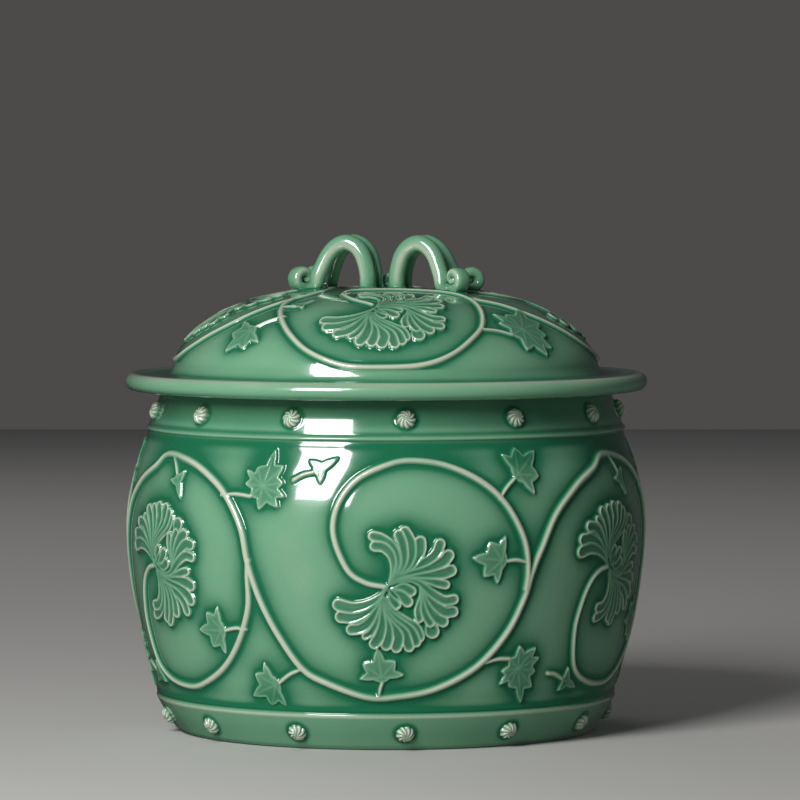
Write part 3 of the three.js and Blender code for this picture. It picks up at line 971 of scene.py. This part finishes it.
# Colour and roughness of celadon by how thick it lies
def glazeToneGroup(p=kiln):
    group, given, end = startGroup(
        "glazeTone",
        {"Thickness": 0.4, "Thin Colour": (0.6, 0.62, 0.5, 1), "Body Colour": (0.2, 0.4, 0.27, 1),
         "Pool Colour": (0.02, 0.2, 0.1, 1), "Drift": 0.15},
        {"Colour": "NodeSocketColor", "Roughness": "NodeSocketFloat"})
    slow, speck = addNoise(group, p["driftScale"], 3), addNoise(group, p["speckScale"])
    both = addNode(group, "ShaderNodeMath", 0, {0: speck, 1: p["speckShare"], 2: slow},
                   operation="MULTIPLY_ADD")
    level = addNode(group, "ShaderNodeMath", 0, {0: both, 1: p["middle"]}, operation="SUBTRACT")
    drift = addNode(group, "ShaderNodeMath", 0, {0: level, 1: given["Drift"], 2: given["Thickness"]},
                    operation="MULTIPLY_ADD")

    def share(stops):
        inputs = dict(zip(("From Min", "From Max", "To Min", "To Max"), stops))
        return addNode(group, "ShaderNodeMapRange", "Result", {"Value": drift, **inputs},
                       interpolation_type="SMOOTHSTEP")

    def blend(factor, first, second):
        return addNode(group, "ShaderNodeMix", 2, {"Factor": factor, 6: first, 7: second}, data_type="RGBA")

    pale = blend(share(p["thinToBody"]), given["Thin Colour"], given["Body Colour"])
    full = blend(share(p["bodyToPool"]), pale, given["Pool Colour"])
    setInputs(group, end, {"Colour": full, "Roughness": share(p["roughness"])})
    return group


# The slight waviness of a fired glaze, and its finest orange peel
def glazeSkinGroup():
    group, given, end = startGroup("glazeSkin", {"Wave": 1.0, "Peel": 0.1}, {"Height": "NodeSocketFloat"})
    total = 0
    for scale, socket in ((70, "Wave"), (480, "Peel")):
        noise = addNoise(group, scale, 1)
        total = addNode(group, "ShaderNodeMath", 0, {0: noise, 1: given[socket], 2: total},
                        operation="MULTIPLY_ADD")
    setInputs(group, end, {"Height": total})
    return group


glazeTone = glazeToneGroup()
glazeSkin = glazeSkinGroup()

celadon = {
    "thin": (0.56, 0.6, 0.47, 1),
    "body": (0.175, 0.395, 0.24, 1),
    "pool": (0.012, 0.155, 0.072, 1),
    "drift": 0.16,
    "wave": 1.0,
    "peel": 0.12,
    "bump": 0.00007,
    "coatRoughness": 0.04,
}
studGlaze = {
    "thin": (0.72, 0.71, 0.58, 1),
    "body": (0.3, 0.47, 0.33, 1),
    "pool": (0.03, 0.2, 0.1, 1),
    "drift": 0.12,
    "wave": 0.6,
    "peel": 0.12,
    "bump": 0.00005,
    "coatRoughness": 0.03,
}


def newMaterial(name):
    material = bpy.data.materials.new(name)
    material.use_nodes = True
    return material, material.node_tree, material.node_tree.nodes["Principled BSDF"]


def glazeMaterial(name, p):
    material, tree, shader = newMaterial(name)
    layer = addNode(tree, "ShaderNodeAttribute", "Fac", attribute_name="glazeThicknessAndPaintedLight")
    tone = addNode(tree, "ShaderNodeGroup", "Colour", {
        "Thickness": layer, "Thin Colour": p["thin"], "Body Colour": p["body"], "Pool Colour": p["pool"],
        "Drift": p["drift"]}, node_tree=glazeTone)
    skin = addNode(tree, "ShaderNodeGroup", "Height", {"Wave": p["wave"], "Peel": p["peel"]},
                   node_tree=glazeSkin)
    bump = addNode(tree, "ShaderNodeBump", "Normal", {"Strength": 1.0, "Distance": p["bump"], "Height": skin})
    setInputs(tree, shader, {
        "Base Color": tone, "Roughness": tone.node.outputs["Roughness"], "Normal": bump, "IOR": 1.5,
        "Coat Weight": 1.0, "Coat Roughness": p["coatRoughness"], "Coat IOR": 1.5})
    return material


biscuit = {
    "pale": (0.6, 0.52, 0.43, 1),
    "dark": (0.36, 0.27, 0.2, 1),
    "grain": 900,
    "toast": 30,
    "ramp": (0.12, 0.34),
    "roughness": (0.72, 0.92),
    "bump": 0.0002,
}


# Bare fired clay, sandy and a little toasted
def biscuitMaterial(name, p=biscuit):
    material, tree, shader = newMaterial(name)
    grain, toast = addNoise(tree, p["grain"], 4), addNoise(tree, p["toast"])
    mixed = addNode(tree, "ShaderNodeMath", 0, {0: grain, 1: toast}, operation="MULTIPLY")
    tint = addNode(tree, "ShaderNodeValToRGB", "Color", {"Fac": mixed})
    for stop, place, colour in zip(tint.node.color_ramp.elements, p["ramp"], (p["dark"], p["pale"])):
        stop.position, stop.color = place, colour
    rough = addNode(tree, "ShaderNodeMapRange", "Result",
                    {"Value": grain, "To Min": p["roughness"][1], "To Max": p["roughness"][0]})
    bump = addNode(tree, "ShaderNodeBump", "Normal", {"Distance": p["bump"], "Height": grain})
    setInputs(tree, shader, {"Base Color": tint, "Roughness": rough, "Normal": bump})
    return material


celadonMaterial = glazeMaterial("celadonGlaze", celadon)
studMaterial = glazeMaterial("studGlaze", studGlaze)
bareMaterial = biscuitMaterial("bareClay")
print("materials made")


def finishPiece(piece, body, slot, materials, *nodes):
    for material in materials:
        piece.data.materials.append(material)
    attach(piece, body)
    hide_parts(*nodes)


finishPiece(buildBody(), "jar", "celadon_glaze", [celadonMaterial, bareMaterial], "jar_body")
print("jar shell built")
finishPiece(buildLid(), "lid", "celadon_glaze", [celadonMaterial, bareMaterial], "lid")
print("lid shell built")
for sideX, handName in ((-1, "left"), (1, "right")):
    for sideY, depthName in ((-1, "front"), (1, "back")):
        turn = handles["rollTurn"][f"{handName}_{depthName}"]
        strand = buildStrand(f"strand_{handName}_{depthName}", sideX, sideY, turn)
        finishPiece(strand, "lid", "celadon_glaze", [celadonMaterial], f"handle_{handName}_{depthName}")
finishPiece(buildCurl("centre_curl"), "lid", "celadon_glaze", [celadonMaterial], "handle_centre_curl")
print("handles built")
for ringName, places in (("neck", neckPlaces), ("foot", footPlaces)):
    for index, (angle, base, outerThinAndHighlight) in enumerate(places):
        number = f"{index + 1:02d}"
        stud = buildStud(f"{ringName}_swirl_{number}", base, outerThinAndHighlight, 0.37 * index)
        finishPiece(stud, "jar", "stud_glaze", [studMaterial], f"{ringName}_stud_{number}")
print("studs built")


# Floor, light and camera

studio = {
    "floorColour": (0.56, 0.55, 0.53, 1),
    "floorSize": 6.0,
    "aim": (0, 0, 0.12),
    "glow": (0.027, 0.027, 0.029, 1),     # soft light from all round
    "wall": (0.074, 0.068, 0.068, 1),     # the plain wall behind
    # azimuth from the camera's side, positive to the right, elevation, distance, width, height, power
    "key": (-30, 30, 1.9, 0.7, 1.0, 36),
    "fill": (118, 28, 2.6, 1.6, 1.6, 4.0),
    "back": (-150, 38, 2.4, 1.4, 0.8, 6),
}
cameraView = {
    "place": (0.0076, -2.9, 0.3155),
    "tilt": 2.75,             # degrees below level
    "lens": 243.5,
}


def areaLight(name, azimuth, elevation, distance, width, height, power, mirrored):
    data = bpy.data.lights.new(name, "AREA")
    data.shape = "RECTANGLE"
    data.size, data.size_y = width, height
    data.energy = power
    light = bpy.data.objects.new(name, data)
    a, e = math.radians(azimuth), math.radians(elevation)
    towards = np.array([math.sin(a) * math.cos(e), -math.cos(a) * math.cos(e), math.sin(e)])
    light.location = np.array(studio["aim"]) + towards * distance
    light.rotation_euler = Vector(-towards).to_track_quat("-Z", "Y").to_euler()
    light.visible_glossy = mirrored   # only the key shows as a bright patch in the glaze
    bpy.context.scene.collection.objects.link(light)


def buildStudio(p=studio):
    half = p["floorSize"] / 2
    corners = np.array([(-half, -half, 0), (half, -half, 0), (half, half, 0), (-half, half, 0)]) / mm
    floor = makeMesh("studio_floor", corners, [np.array([[0, 1, 2, 3]])])
    material, tree, shader = newMaterial("paleFloor")
    setInputs(tree, shader, {"Base Color": p["floorColour"], "Roughness": 0.7})
    floor.data.materials.append(material)
    floor.visible_glossy = False   # keeps the floor's edge out of the glaze
    world = bpy.data.worlds.new("studioWorld")
    world.use_nodes = True
    tree = world.node_tree
    glow = tree.nodes["Background"]
    setInputs(tree, glow, {"Color": p["glow"]})
    wall = addNode(tree, "ShaderNodeBackground", "Background", {"Color": p["wall"]})
    seen = addNode(tree, "ShaderNodeLightPath", "Is Camera Ray")
    mixed = addNode(tree, "ShaderNodeMixShader", "Shader",
                    {"Fac": seen, 1: glow.outputs["Background"], 2: wall})
    setInputs(tree, tree.nodes["World Output"], {"Surface": mixed})
    bpy.context.scene.world = world
    for name in ("key", "fill", "back"):
        areaLight(name + "Light", *p[name], mirrored=name == "key")


def buildCamera(p=cameraView):
    data = bpy.data.cameras.new("viewCamera")
    data.sensor_width = 36
    data.lens = p["lens"]
    data.clip_end = 50
    camera = bpy.data.objects.new("viewCamera", data)
    camera.location = p["place"]
    camera.rotation_euler = (math.radians(90 - p["tilt"]), 0, 0)
    bpy.context.scene.collection.objects.link(camera)
    bpy.context.scene.camera = camera
    bpy.context.scene.view_settings.view_transform = "Standard"


buildStudio()
buildCamera()
print("studio set")
